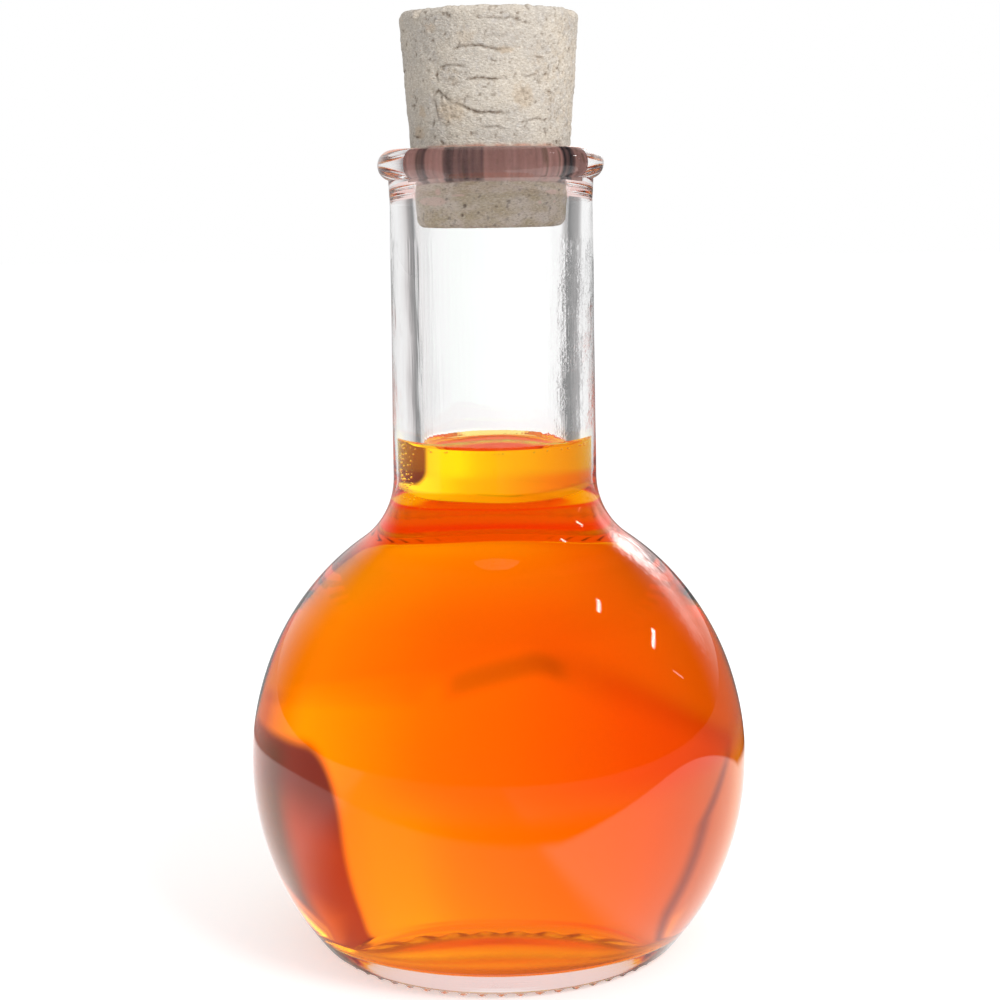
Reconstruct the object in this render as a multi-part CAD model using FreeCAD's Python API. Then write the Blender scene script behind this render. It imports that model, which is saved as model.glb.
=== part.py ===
"""Corked glass bottle, a small round-bottomed flask with a straight neck, in millimetres.

The frame has +Z up along the bottle's axis, and its origin at the middle of the plane that
the bottle stands on. The side of the bottle that is usually seen faces -Y.
Pieces: glass_bottle (blown in one piece), liquid_fill (what the bottle holds) and
cork_stopper (a tapered natural cork that pulls straight up out of the mouth).
"""
import FreeCAD, Part
import math
import os

# Outside of the bottle: a slightly tall round body under a long straight neck
bottle_height = 97.2
body_radius = 30.5
body_half_height = 32.6
body_centre_z = 22.8
neck_low_radius = 12.4
neck_high_radius = 12.1
shoulder_fillet = 9.6

# Rolled lip: a bead of round section at the top of the neck
lip_radius = 13.5
lip_half_height = 1.85
lip_crease_fillet = 0.35
mouth_rim_fillet = 0.9

# Base: knurled bearing ring round a shallow push-up
ring_height = 0.4
ring_width = 3.4
heel_fillet = 2.0
push_up_depth = 0.8
knurl_count = 60
knurl_rod_radius = 0.8
knurl_land_depth = 0.05
knurl_length = 2.4
knurl_inset = 0.5

# Inside of the bottle: even wall in the body, thick floor, bore that narrows down the neck
body_wall = 2.1
floor_height = 3.7
floor_dome = 0.3
floor_corner_fillet = 3.5
bore_low_radius = 8.5
bore_shoulder_fillet = 9.0

# Cork: a tapered plug, pushed in until it wedges in the mouth
cork_top_radius = 10.65
cork_length = 25.2
cork_half_taper = 3.95
cork_insertion = 9.35
cork_top_round = 0.9
cork_bottom_round = 1.1
seat_clearance = 0.06
seat_end_clearance = 0.3
seat_run_out = 0.5

# Liquid: fills the body and the foot of the neck, and climbs a little at the glass
liquid_level = 62.0
meniscus_rise = 0.5
meniscus_width = 1.4
liquid_film = 0.02

# Fissures (lenticels) in the side of the cork, thin slits across its length.
# Each: degrees round from the seen side, height over the cork's foot, half length, depth
seen_fissures = [
    (-6.0, 20.1, 3.1, 0.42),
    (-1.0, 18.0, 2.3, 0.38),
    (2.0, 16.8, 2.2, 0.3),
    (-8.0, 13.6, 3.7, 0.45),
    (-16.0, 23.3, 2.6, 0.3),
    (14.0, 22.9, 2.9, 0.28),
    (-24.0, 11.3, 1.7, 0.3),
    (31.0, 14.6, 2.0, 0.35),
    (-38.0, 17.2, 1.8, 0.3),
]
far_fissure_count = 9
far_fissure_turn = 137.5
fissure_opening = 0.34

# Chips in the top edge of the cork: degrees round, radius of the bite, how far it reaches in
rim_chips = [
    (-42.0, 2.6, 0.5),
    (52.0, 2.2, 0.55),
    (158.0, 2.4, 0.45),
    (-118.0, 1.9, 0.4),
]

UP = FreeCAD.Vector(0, 0, 1)


def point(radius, height):
    """Point of a profile, drawn in the plane y = 0."""
    return FreeCAD.Vector(radius, 0, height)


def line(start, end):
    return Part.LineSegment(start, end).toShape()


def arc(start, middle, end):
    return Part.Arc(start, middle, end).toShape()


def turned(edges):
    """Solid turned about the Z axis from profile edges that start and end on it."""
    face = Part.Face(Part.Wire(edges))
    solid = face.revolve(FreeCAD.Vector(0, 0, 0), UP, 360)
    return solid if solid.Volume > 0 else solid.reversed()


def round_edge_at(solid, radius, height, fillet):
    """Fillets the circular edge that has this radius at this height."""
    def misfit(edge):
        return abs(edge.Curve.Radius - radius) + abs(edge.Curve.Center.z - height)

    edges = [edge for edge in solid.Edges if not edge.Degenerated]
    rings = [edge for edge in edges if isinstance(edge.Curve, Part.Circle)]
    return solid.makeFillet(fillet, [min(rings, key=misfit)])


def oval_radius(semi_r, semi_z, height):
    """Radius of the body's oval, of these half axes, at a height."""
    return semi_r * math.sqrt(1 - ((height - body_centre_z) / semi_z) ** 2)


def oval_height(semi_r, semi_z, radius):
    """Height of the upper half of the body's oval at a radius."""
    return body_centre_z + semi_z * math.sqrt(1 - (radius / semi_r) ** 2)


def oval_arc(semi_r, semi_z, low, high):
    """Arc of the body's oval from a low point, out past its widest place, to a high one."""
    centre = point(0, body_centre_z)
    side = point(semi_r, body_centre_z)
    top = point(0, body_centre_z + semi_z)
    ends = (top, side) if semi_z >= semi_r else (side, top)
    oval = Part.Ellipse(ends[0], ends[1], centre)
    turns = []
    for place in (low, high):
        turn = oval.parameter(place)
        turns.append(turn - 2 * math.pi if turn > math.pi else turn)
    return Part.ArcOfEllipse(oval, min(turns), max(turns)).toShape()


def dome_arc(apex_height, rim_radius, rim_height):
    """Arc from a point on the axis, level there, down to a rim."""
    sag = apex_height - rim_height
    sphere = (rim_radius ** 2 + sag ** 2) / (2 * sag)
    half_turn = math.asin(rim_radius / sphere) / 2
    middle = point(sphere * math.sin(half_turn), apex_height - sphere * (1 - math.cos(half_turn)))
    return arc(point(0, apex_height), middle, point(rim_radius, rim_height))


ring_outer_radius = oval_radius(body_radius, body_half_height, ring_height)
ring_inner_radius = ring_outer_radius - ring_width
cavity_radius = body_radius - body_wall
cavity_half_height = body_half_height - body_wall
cork_foot_z = bottle_height - cork_insertion
cork_top_z = cork_foot_z + cork_length
taper_slope = math.tan(math.radians(cork_half_taper))


def cork_radius_at(height):
    """Radius of the cork's taper at a height, carried on past its ends."""
    return cork_top_radius - (cork_top_z - height) * taper_slope


bore_foot_z = oval_height(cavity_radius, cavity_half_height, bore_low_radius)
seat_foot_z = cork_foot_z - seat_run_out
seat_foot_radius = cork_radius_at(seat_foot_z) + seat_end_clearance
mouth_radius = cork_radius_at(bottle_height) + seat_clearance


def bore_radius_at(height):
    """Radius of the neck's bore, which changes evenly from the shoulder to the cork's foot."""
    share = (height - bore_foot_z) / (seat_foot_z - bore_foot_z)
    return bore_low_radius + share * (seat_foot_radius - bore_low_radius)


def make_blank():
    """The bottle's outside as one solid, with no cavity yet."""
    shoulder_z = oval_height(body_radius, body_half_height, neck_low_radius)
    lip_centre_r = lip_radius - lip_half_height
    lip_centre_z = bottle_height - lip_half_height
    overlap = neck_high_radius - lip_centre_r
    under_lip_z = lip_centre_z - math.sqrt(lip_half_height ** 2 - overlap ** 2)

    apex = ring_height + push_up_depth
    heel = point(ring_outer_radius, ring_height)
    shoulder = point(neck_low_radius, shoulder_z)
    under_lip = point(neck_high_radius, under_lip_z)
    lip_top = point(lip_centre_r, bottle_height)
    top = point(0, bottle_height)
    edges = [
        dome_arc(apex, ring_inner_radius, ring_height),
        line(point(ring_inner_radius, ring_height), heel),
        oval_arc(body_radius, body_half_height, heel, shoulder),
        line(shoulder, under_lip),
        arc(under_lip, point(lip_radius, lip_centre_z), lip_top),
        line(lip_top, top),
        line(top, point(0, apex)),
    ]
    blank = turned(edges)
    blank = round_edge_at(blank, ring_outer_radius, ring_height, heel_fillet)
    blank = round_edge_at(blank, neck_low_radius, shoulder_z, shoulder_fillet)
    return round_edge_at(blank, neck_high_radius, under_lip_z, lip_crease_fillet)


def make_cavity(film, top_z):
    """The bottle's hollow up to a height, drawn in by a film thickness all round."""
    inner_r = cavity_radius - film
    inner_z = cavity_half_height - film
    floor_z = floor_height + film
    floor_r = oval_radius(inner_r, inner_z, floor_z)
    low_r = bore_low_radius - film
    bore_z = oval_height(inner_r, inner_z, low_r)
    mouth_slope = (mouth_radius - seat_foot_radius) / (bottle_height - seat_foot_z)
    top_r = mouth_radius - film + (top_z - bottle_height) * mouth_slope

    corner = point(floor_r, floor_z)
    foot = point(low_r, bore_z)
    seat_foot = point(seat_foot_radius - film, seat_foot_z)
    mouth = point(top_r, top_z)
    axis_top = point(0, top_z)
    apex = floor_z + floor_dome
    edges = [
        dome_arc(apex, floor_r, floor_z),
        oval_arc(inner_r, inner_z, corner, foot),
        line(foot, seat_foot),
        line(seat_foot, mouth),
        line(mouth, axis_top),
        line(axis_top, point(0, apex)),
    ]
    cavity = turned(edges)
    cavity = round_edge_at(cavity, floor_r, floor_z, floor_corner_fillet)
    return round_edge_at(cavity, low_r, bore_z, bore_shoulder_fillet)


def make_knurl():
    """Short rods lying like spokes in the bearing ring, ground flat where they stand."""
    rod_axis_z = knurl_rod_radius - knurl_land_depth
    rod_start = ring_inner_radius + knurl_inset
    start = FreeCAD.Vector(rod_start, 0, rod_axis_z)
    along = FreeCAD.Vector(1, 0, 0)
    rod = Part.makeCylinder(knurl_rod_radius, knurl_length, start, along)
    corner = FreeCAD.Vector(rod_start, -knurl_rod_radius, 0)
    rod = rod.common(Part.makeBox(knurl_length, 2 * knurl_rod_radius, rod_axis_z, corner))
    rods = []
    for index in range(knurl_count):
        copy = rod.copy()
        copy.rotate(FreeCAD.Vector(0, 0, 0), UP, 360.0 * index / knurl_count)
        rods.append(copy)
    return rods


def make_glass():
    """Blank with its cavity, a fire-polished mouth and the knurl on its bearing ring."""
    over = 2.0
    glass = make_blank().cut(make_cavity(0, bottle_height + over))
    glass = round_edge_at(glass, mouth_radius, bottle_height, mouth_rim_fillet)
    return glass.multiFuse(make_knurl()).Solids[0]


def make_liquid():
    """The hollow filled to the level, with the surface curling up where it meets the glass."""
    rim_z = liquid_level + meniscus_rise
    rim_r = bore_radius_at(rim_z)
    flat_r = rim_r - meniscus_width
    curl = 2 * math.atan(meniscus_rise / meniscus_width)
    sphere = meniscus_width / math.sin(curl)
    middle_r = flat_r + sphere * math.sin(curl / 2)
    middle_z = liquid_level + sphere * (1 - math.cos(curl / 2))
    flat_end = point(flat_r, liquid_level)
    rim = point(rim_r, rim_z)
    reach = mouth_radius + meniscus_width
    top = bottle_height + meniscus_width
    edges = [
        line(point(0, liquid_level), flat_end),
        arc(flat_end, point(middle_r, middle_z), rim),
        line(rim, point(reach, rim_z)),
        line(point(reach, rim_z), point(reach, top)),
        line(point(reach, top), point(0, top)),
        line(point(0, top), point(0, liquid_level)),
    ]
    return make_cavity(liquid_film, bottle_height).cut(turned(edges)).Solids[0]


def make_fissure(turn, height, half_length, depth):
    """Sharp-edged disc, set to bite a thin slit with tapered ends into the cork's side."""
    side_r = cork_radius_at(cork_foot_z + height)
    disc_r = (half_length ** 2 + depth ** 2) / (2 * depth)
    half = fissure_opening / 2
    bevel = depth
    wedge = [
        point(0, -half),
        point(disc_r - bevel, -half),
        point(disc_r, 0),
        point(disc_r - bevel, half),
        point(0, half),
        point(0, -half),
    ]
    disc = turned([line(a, b) for a, b in zip(wedge, wedge[1:])])
    out = side_r - depth + disc_r
    angle = math.radians(turn)
    disc.translate(FreeCAD.Vector(out * math.sin(angle), -out * math.cos(angle), cork_foot_z + height))
    return disc


def make_chip(turn, bite, reach):
    """Ball, set to take a shallow chip out of the cork's top edge."""
    lean = math.radians(45)
    out = cork_top_radius - cork_top_round * (1 - math.sin(lean)) + (bite - reach) * math.sin(lean)
    height = cork_top_z - cork_top_round * (1 - math.cos(lean)) + (bite - reach) * math.cos(lean)
    angle = math.radians(turn)
    centre = FreeCAD.Vector(out * math.sin(angle), -out * math.cos(angle), height)
    return Part.makeSphere(bite, centre)


def make_cork():
    """Tapered plug with rounded ends, chipped at its top edge and slit by fissures."""
    foot_r = cork_radius_at(cork_foot_z)
    cork = Part.makeCone(foot_r, cork_top_radius, cork_length, FreeCAD.Vector(0, 0, cork_foot_z), UP)
    cork = round_edge_at(cork, cork_top_radius, cork_top_z, cork_top_round)
    cork = round_edge_at(cork, foot_r, cork_foot_z, cork_bottom_round)
    cuts = [make_chip(*chip) for chip in rim_chips]
    cuts += [make_fissure(*fissure) for fissure in seen_fissures]
    shown = cork_length - cork_insertion
    for index in range(far_fissure_count):
        turn = 75 + (index * far_fissure_turn) % 210
        height = cork_insertion + shown * (0.12 + 0.8 * index / far_fissure_count)
        half_length = 2.0 + 0.5 * (index % 3)
        cuts.append(make_fissure(turn, height, half_length, 0.3 + 0.05 * (index % 3)))
    return cork.cut(cuts).Solids[0]


pieces = {
    "glass_bottle": make_glass(),
    "liquid_fill": make_liquid(),
    "cork_stopper": make_cork(),
}

os.makedirs("parts", exist_ok=True)
for name, shape in pieces.items():
    shape.exportStep("parts/" + name + ".step")
    print(name, "valid", shape.isValid(), "volume ml", round(shape.Volume / 1000, 2))
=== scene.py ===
"""Corked glass bottle: the finished surfaces, the studio and the camera.

Every length is in metres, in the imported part's own frame: +Z up the bottle's axis, the seen
side towards -Y. Glass, liquid and cork are turned shapes, so each mesh is a profile carried
round the axis, with its ribs, ripples, pits and chips worked out as arrays on the same grid.
"""
import math

import bpy
import mathutils
import numpy as np
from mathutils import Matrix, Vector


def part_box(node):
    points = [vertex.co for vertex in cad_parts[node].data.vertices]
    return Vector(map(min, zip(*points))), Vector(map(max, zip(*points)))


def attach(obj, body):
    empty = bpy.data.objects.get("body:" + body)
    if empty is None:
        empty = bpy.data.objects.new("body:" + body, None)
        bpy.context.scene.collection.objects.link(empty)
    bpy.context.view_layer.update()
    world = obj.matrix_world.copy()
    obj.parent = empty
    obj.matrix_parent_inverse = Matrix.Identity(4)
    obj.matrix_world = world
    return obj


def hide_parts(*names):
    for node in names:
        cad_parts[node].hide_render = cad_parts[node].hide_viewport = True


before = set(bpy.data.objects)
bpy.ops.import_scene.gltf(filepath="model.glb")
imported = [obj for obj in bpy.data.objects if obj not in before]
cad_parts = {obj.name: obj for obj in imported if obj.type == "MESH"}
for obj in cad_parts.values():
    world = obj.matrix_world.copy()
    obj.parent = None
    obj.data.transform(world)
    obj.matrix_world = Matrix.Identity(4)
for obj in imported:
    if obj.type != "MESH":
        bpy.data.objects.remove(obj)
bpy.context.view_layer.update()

MM = 0.001

# Bottle, outside
BOTTLE_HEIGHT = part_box("glass_bottle")[1].z
BODY_RADIUS = 30.5 * MM
BODY_HALF_HEIGHT = 32.6 * MM
BODY_CENTRE_Z = 22.8 * MM
NECK_LOW_RADIUS = 12.4 * MM
NECK_HIGH_RADIUS = 12.1 * MM
SHOULDER_FILLET = 9.6 * MM
LIP_RADIUS = 13.5 * MM
LIP_HALF_HEIGHT = 1.85 * MM
MOUTH_RIM_FILLET = 0.9 * MM
RING_HEIGHT = 0.4 * MM
RING_WIDTH = 3.4 * MM
HEEL_FILLET = 2.0 * MM
PUSH_UP_DEPTH = 0.8 * MM
RIB_COUNT = 60
RIB_LENGTH = 2.9 * MM
RIB_INSET = 0.3 * MM
RIB_SOFT_END = 0.5 * MM
OUTER_RIPPLE = 0.018 * MM

# Bottle, inside
BODY_WALL = 2.1 * MM
FLOOR_HEIGHT = 3.7 * MM
FLOOR_DOME = 0.3 * MM
FLOOR_CORNER_FILLET = 3.5 * MM
BORE_LOW_RADIUS = 8.5 * MM
BORE_SHOULDER_FILLET = 9.0 * MM
INNER_RIPPLE = 0.05 * MM

# Cork
CORK_LOW, CORK_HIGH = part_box("cork_stopper")
CORK_FOOT_Z = CORK_LOW.z
CORK_TOP_Z = CORK_HIGH.z
CORK_TOP_RADIUS = 10.65 * MM
CORK_HALF_TAPER = math.radians(3.95)
CORK_TOP_ROUND = 0.9 * MM
CORK_FOOT_ROUND = 1.1 * MM
SEAT_CLEARANCE = 0.06 * MM
SEAT_END_CLEARANCE = 0.3 * MM
SEAT_RUN_OUT = 0.5 * MM
PRESSED_IN = 0.1 * MM

# Liquid
LIQUID_LEVEL = 62.0 * MM
MENISCUS_RISE = 0.5 * MM
MENISCUS_WIDTH = 1.4 * MM
LIQUID_FILM = 0.02 * MM
GLASS_IOR = 1.5
LIQUID_IOR = 1.36

GLASS_COLUMNS = 360
LIQUID_COLUMNS = 240
CORK_COLUMNS = 480

# Camera, fitted to the outline in the photograph
PHOTO_WIDTH = 1000
FOCAL_PIXELS = 1950
SENSOR_WIDTH = 36.0
CAMERA_PLACE = (0.58 * MM, -235.9 * MM, 90.8 * MM)
CAMERA_PITCH = math.radians(8.66)
CAMERA_ROLL = math.radians(-0.78)


def between(low, high, value):
    """Smooth step: 0 below low, 1 above high, 3t^2 - 2t^3 between."""
    t = np.clip((value - low) / (high - low), 0.0, 1.0)
    return t * t * (3.0 - 2.0 * t)


def lattice_noise(places, cell, seed):
    """Noise from -1 to 1 at 3-D places.

    Each corner of a cubic lattice of this cell size holds a hashed number, and a place
    takes the smooth-stepped blend of the eight corners round it.
    """
    scaled = places / cell
    corner = np.floor(scaled).astype(np.int64)
    share = scaled - corner
    share = share * share * (3.0 - 2.0 * share)
    total = np.zeros(places.shape[:-1])
    for dx in (0, 1):
        for dy in (0, 1):
            for dz in (0, 1):
                step = corner + np.array([dx, dy, dz])
                mixed = step[..., 0] * 73856093 ^ step[..., 1] * 19349663 ^ step[..., 2] * 83492791
                mixed = (mixed ^ seed * 2654435761) & 0xFFFFFFFF
                mixed = ((mixed ^ (mixed >> 15)) * 2246822519) & 0xFFFFFFFF
                mixed = ((mixed ^ (mixed >> 13)) * 3266489917) & 0xFFFFFFFF
                value = ((mixed ^ (mixed >> 16)) & 0xFFFF) / 32767.5 - 1.0
                weight = np.where(dx, share[..., 0], 1 - share[..., 0])
                weight = weight * np.where(dy, share[..., 1], 1 - share[..., 1])
                weight = weight * np.where(dz, share[..., 2], 1 - share[..., 2])
                total += value * weight
    return total


def straight(start, end, count):
    """Points (radius, height) evenly along a line, without its end."""
    share = np.linspace(0.0, 1.0, count, endpoint=False)[:, None]
    return np.array(start) * (1 - share) + np.array(end) * share


def round_arc(centre, radius, start, end, count):
    """Points along a circular arc from one angle to another, without its end."""
    turn = np.linspace(start, end, count, endpoint=False)
    return np.stack([centre[0] + radius * np.cos(turn), centre[1] + radius * np.sin(turn)], -1)


def angle_of(centre, place):
    return math.atan2(place[1] - centre[1], place[0] - centre[0])


def oval(semi_r, semi_z, turn):
    """Points of the body's oval, r = a cos t and z = c + b sin t."""
    turn = np.asarray(turn)
    return np.stack([semi_r * np.cos(turn), BODY_CENTRE_Z + semi_z * np.sin(turn)], -1)


def oval_outward(semi_r, semi_z, turn):
    """Unit normals of that oval: the gradient (cos t / a, sin t / b), made one long."""
    turn = np.asarray(turn)
    slope = np.stack([np.cos(turn) / semi_r, np.sin(turn) / semi_z], -1)
    return slope / np.linalg.norm(slope, axis=-1, keepdims=True)


def ball_on_oval(semi_r, semi_z, ball, side, gap, turns):
    """Where a ball touches the oval and something else: the oval's angle and ball's centre.

    The ball rolls along the oval on one side of it, and gap(centres) says how far it is
    from the other thing. The answer is where that crosses zero, by linear interpolation.
    """
    turn = np.linspace(turns[0], turns[1], 4000)
    centres = oval(semi_r, semi_z, turn) + side * ball * oval_outward(semi_r, semi_z, turn)
    away = gap(centres)
    last = np.nonzero(np.sign(away[1:]) != np.sign(away[:-1]))[0][0]
    share = away[last] / (away[last] - away[last + 1])
    centre = centres[last] + share * (centres[last + 1] - centres[last])
    return turn[last] + share * (turn[1] - turn[0]), centre


def shoulder(semi_r, semi_z, fillet, foot, top, counts):
    """Oval, fillet and neck line as one run of points from the oval's low angle upwards."""
    along = np.array(top) - np.array(foot)
    outward = np.array([along[1], -along[0]]) / np.hypot(*along)

    def gap(centres):
        return (centres - np.array(foot)) @ outward - fillet

    turn, centre = ball_on_oval(semi_r, semi_z, fillet, 1.0, gap, (0.3, 1.5))
    start = angle_of(centre, oval(semi_r, semi_z, turn))
    end = math.atan2(-outward[1], -outward[0])
    arc = round_arc(centre, fillet, start % (2 * math.pi), end % (2 * math.pi), counts[0])
    neck = straight(centre - fillet * outward, top, counts[1])
    return turn, arc, neck


def cork_radius_at(height):
    return CORK_TOP_RADIUS - (CORK_TOP_Z - height) * math.tan(CORK_HALF_TAPER)


def outside_profile():
    """The bottle's outside from the middle of the push-up to the mouth's rounded edge."""
    ring_turn = math.asin((RING_HEIGHT - BODY_CENTRE_Z) / BODY_HALF_HEIGHT)
    ring_outer = BODY_RADIUS * math.cos(ring_turn)
    ring_inner = ring_outer - RING_WIDTH
    heel_turn, heel = ball_on_oval(
        BODY_RADIUS, BODY_HALF_HEIGHT, HEEL_FILLET, -1.0,
        lambda centres: centres[:, 1] - RING_HEIGHT - HEEL_FILLET, (-1.3, 0.0))
    heel_end = angle_of(heel, oval(BODY_RADIUS, BODY_HALF_HEIGHT, heel_turn))
    dome = (ring_inner ** 2 + PUSH_UP_DEPTH ** 2) / (2 * PUSH_UP_DEPTH)
    dome_turn = math.asin(ring_inner / dome)
    dome_centre = (0.0, RING_HEIGHT + PUSH_UP_DEPTH - dome)
    lip_centre = (LIP_RADIUS - LIP_HALF_HEIGHT, BOTTLE_HEIGHT - LIP_HALF_HEIGHT)
    overlap = NECK_HIGH_RADIUS - lip_centre[0]
    under_lip = -math.acos(overlap / LIP_HALF_HEIGHT)
    neck_top = (NECK_HIGH_RADIUS, lip_centre[1] + LIP_HALF_HEIGHT * math.sin(under_lip))
    foot_z = BODY_CENTRE_Z + BODY_HALF_HEIGHT * math.sqrt(1 - (NECK_LOW_RADIUS / BODY_RADIUS) ** 2)
    neck_foot = (NECK_LOW_RADIUS, foot_z)
    turn, arc, neck = shoulder(
        BODY_RADIUS, BODY_HALF_HEIGHT, SHOULDER_FILLET, neck_foot, neck_top, (16, 24))
    mouth_r = cork_radius_at(BOTTLE_HEIGHT) + SEAT_CLEARANCE
    return np.concatenate([
        round_arc(dome_centre, dome, math.pi / 2, math.pi / 2 - dome_turn, 14)[1:],
        straight((ring_inner, RING_HEIGHT), (heel[0], RING_HEIGHT), 14),
        round_arc(heel, HEEL_FILLET, -math.pi / 2, heel_end, 6),
        oval(BODY_RADIUS, BODY_HALF_HEIGHT, np.linspace(heel_turn, turn, 50, endpoint=False)),
        arc,
        neck[:-1],
        round_arc(lip_centre, LIP_HALF_HEIGHT, under_lip + 0.08, math.pi / 2, 24),
        straight((lip_centre[0], BOTTLE_HEIGHT), (mouth_r + MOUTH_RIM_FILLET, BOTTLE_HEIGHT), 2),
        round_arc((mouth_r + MOUTH_RIM_FILLET, BOTTLE_HEIGHT - MOUTH_RIM_FILLET),
                  MOUTH_RIM_FILLET, math.pi / 2, math.pi * 0.98, 8),
    ])


def hollow_profile(grow, top_z):
    """The cavity's wall from the middle of the floor up to a height, pushed out by grow."""
    semi_r = BODY_RADIUS - BODY_WALL + grow
    semi_z = BODY_HALF_HEIGHT - BODY_WALL + grow
    floor_z = FLOOR_HEIGHT - grow
    floor_r = semi_r * math.sqrt(1 - ((floor_z - BODY_CENTRE_Z) / semi_z) ** 2)
    dome = (floor_r ** 2 + FLOOR_DOME ** 2) / (2 * FLOOR_DOME)
    dome_centre = np.array([0.0, floor_z + FLOOR_DOME - dome])
    corner_turn, corner = ball_on_oval(
        semi_r, semi_z, FLOOR_CORNER_FILLET, -1.0,
        lambda centres: np.linalg.norm(centres - dome_centre, axis=1) - dome - FLOOR_CORNER_FILLET,
        (-1.3, 0.0))
    touch = angle_of(dome_centre, corner)
    seat_foot_z = CORK_FOOT_Z - SEAT_RUN_OUT
    seat_foot = (cork_radius_at(seat_foot_z) + SEAT_END_CLEARANCE + grow, seat_foot_z)
    low_r = BORE_LOW_RADIUS + grow
    bore_foot = (low_r, BODY_CENTRE_Z + semi_z * math.sqrt(1 - (low_r / semi_r) ** 2))
    turn, arc, bore = shoulder(
        semi_r, semi_z, BORE_SHOULDER_FILLET, bore_foot, seat_foot, (14, 24))
    mouth = (cork_radius_at(BOTTLE_HEIGHT) + SEAT_CLEARANCE + grow, BOTTLE_HEIGHT)
    rows = np.concatenate([
        round_arc(dome_centre, dome, math.pi / 2, touch, 12)[1:],
        round_arc(corner, FLOOR_CORNER_FILLET, touch + math.pi,
                  angle_of(corner, oval(semi_r, semi_z, corner_turn)) % (2 * math.pi), 12),
        oval(semi_r, semi_z, np.linspace(corner_turn, turn, 44, endpoint=False)),
        arc,
        bore,
        straight(seat_foot, mouth, 8),
        [mouth],
    ])
    low = rows[rows[:, 1] < top_z]
    after = rows[len(low)]
    share = (top_z - low[-1, 1]) / (after[1] - low[-1, 1])
    return np.vstack([low, low[-1] + share * (after - low[-1])])


def carried_round(profile, columns):
    """Grid of places: each profile point (radius, height) carried round the axis."""
    turn = np.linspace(0.0, 2 * math.pi, columns, endpoint=False)
    radius = profile[:, :1]
    height = np.repeat(profile[:, 1:], columns, axis=1)
    return np.stack([radius * np.cos(turn), radius * np.sin(turn), height], -1), turn


def closed_skin(grid, first_pole, last_pole):
    """Places and faces of a grid that goes round the axis, closed at both ends by a pole.

    Rows run from the first pole to the last with the outside on their right-hand side, so
    the faces (row, column), (row, column + 1), (row + 1, column + 1) point outwards.
    """
    rows, columns = grid.shape[:2]
    places = np.vstack([grid.reshape(-1, 3), first_pole, last_pole])
    index = np.arange(rows * columns).reshape(rows, columns)
    ahead = np.roll(index, -1, axis=1)
    quads = np.stack([index[:-1], ahead[:-1], ahead[1:], index[1:]], -1).reshape(-1, 4)
    first = np.full(columns, rows * columns)
    start_fan = np.stack([first, ahead[0], index[0]], -1)
    end_fan = np.stack([first + 1, index[-1], ahead[-1]], -1)
    return places, quads, np.vstack([start_fan, end_fan])


def mesh_piece(name, skins):
    """One mesh from several closed skins of places, quads and triangles."""
    places = np.vstack([skin[0] for skin in skins])
    first = np.cumsum([0] + [len(skin[0]) for skin in skins])[:-1]
    quads = np.vstack([skin[1] + start for skin, start in zip(skins, first)])
    threes = np.vstack([skin[2] + start for skin, start in zip(skins, first)])
    mesh = bpy.data.meshes.new(name)
    mesh.vertices.add(len(places))
    mesh.vertices.foreach_set("co", places.ravel())
    mesh.loops.add(quads.size + threes.size)
    mesh.loops.foreach_set("vertex_index", np.concatenate([quads.ravel(), threes.ravel()]))
    mesh.polygons.add(len(quads) + len(threes))
    starts = np.concatenate([np.arange(len(quads)) * 4, quads.size + np.arange(len(threes)) * 3])
    mesh.polygons.foreach_set("loop_start", starts)
    mesh.update(calc_edges=True)
    mesh.shade_smooth()
    piece = bpy.data.objects.new(name, mesh)
    bpy.context.scene.collection.objects.link(piece)
    return piece


def face_middles(mesh):
    """Middle of each face, as an array."""
    middles = np.empty(len(mesh.polygons) * 3)
    mesh.polygons.foreach_get("center", middles)
    return middles.reshape(-1, 3)


def keep_amount(mesh, name, values, domain="POINT"):
    """Stores one number for each point or face, which a material can read."""
    layer = mesh.attributes.new(name, "FLOAT", domain)
    layer.data.foreach_set("value", np.asarray(values, dtype=np.float32).ravel())


def ball(centre, radius, inward):
    """Small round skin, r sin t round the axis and r cos t along it; turned in for a bubble."""
    tilt = np.linspace(-math.pi / 2, math.pi / 2, 8)[1:-1]
    grid, _ = carried_round(np.stack([radius * np.cos(tilt), radius * np.sin(tilt)], -1), 10)
    poles = np.array([[0, 0, -radius], [0, 0, radius]])
    places, quads, threes = closed_skin(grid, poles[0], poles[1])
    if inward:
        quads = quads[:, ::-1]
        threes = threes[:, ::-1]
    return places + centre, quads, threes


def ripple(turn, height, seed, waves, longest):
    """Slow waves in blown glass: a sum of cosines round the axis and along it, about 1 high."""
    dice = np.random.default_rng(seed)
    total = np.zeros(np.broadcast(turn, height).shape)
    for _ in range(waves):
        order = dice.integers(0, 7)
        length = longest * dice.uniform(0.35, 1.0)
        phase = dice.uniform(0, 2 * math.pi, 2)
        total += np.cos(order * turn + phase[0]) * np.cos(2 * math.pi * height / length + phase[1])
    return total / math.sqrt(waves)


def hollow_grid(grow, top_z, columns):
    """The cavity's wall with its ripples, which the glass and the liquid both follow."""
    grid, turn = carried_round(hollow_profile(grow, top_z), columns)
    height = grid[..., 2]
    push = INNER_RIPPLE * ripple(turn, height, 11, 12, 26 * MM)
    push = push * between(FLOOR_HEIGHT + 2 * MM, FLOOR_HEIGHT + 12 * MM, height)
    push = push * (1 - between(CORK_FOOT_Z - 4 * MM, CORK_FOOT_Z, height))
    outward = np.stack([np.cos(turn), np.sin(turn), np.zeros_like(turn)], -1)
    return grid + push[..., None] * outward


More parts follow.
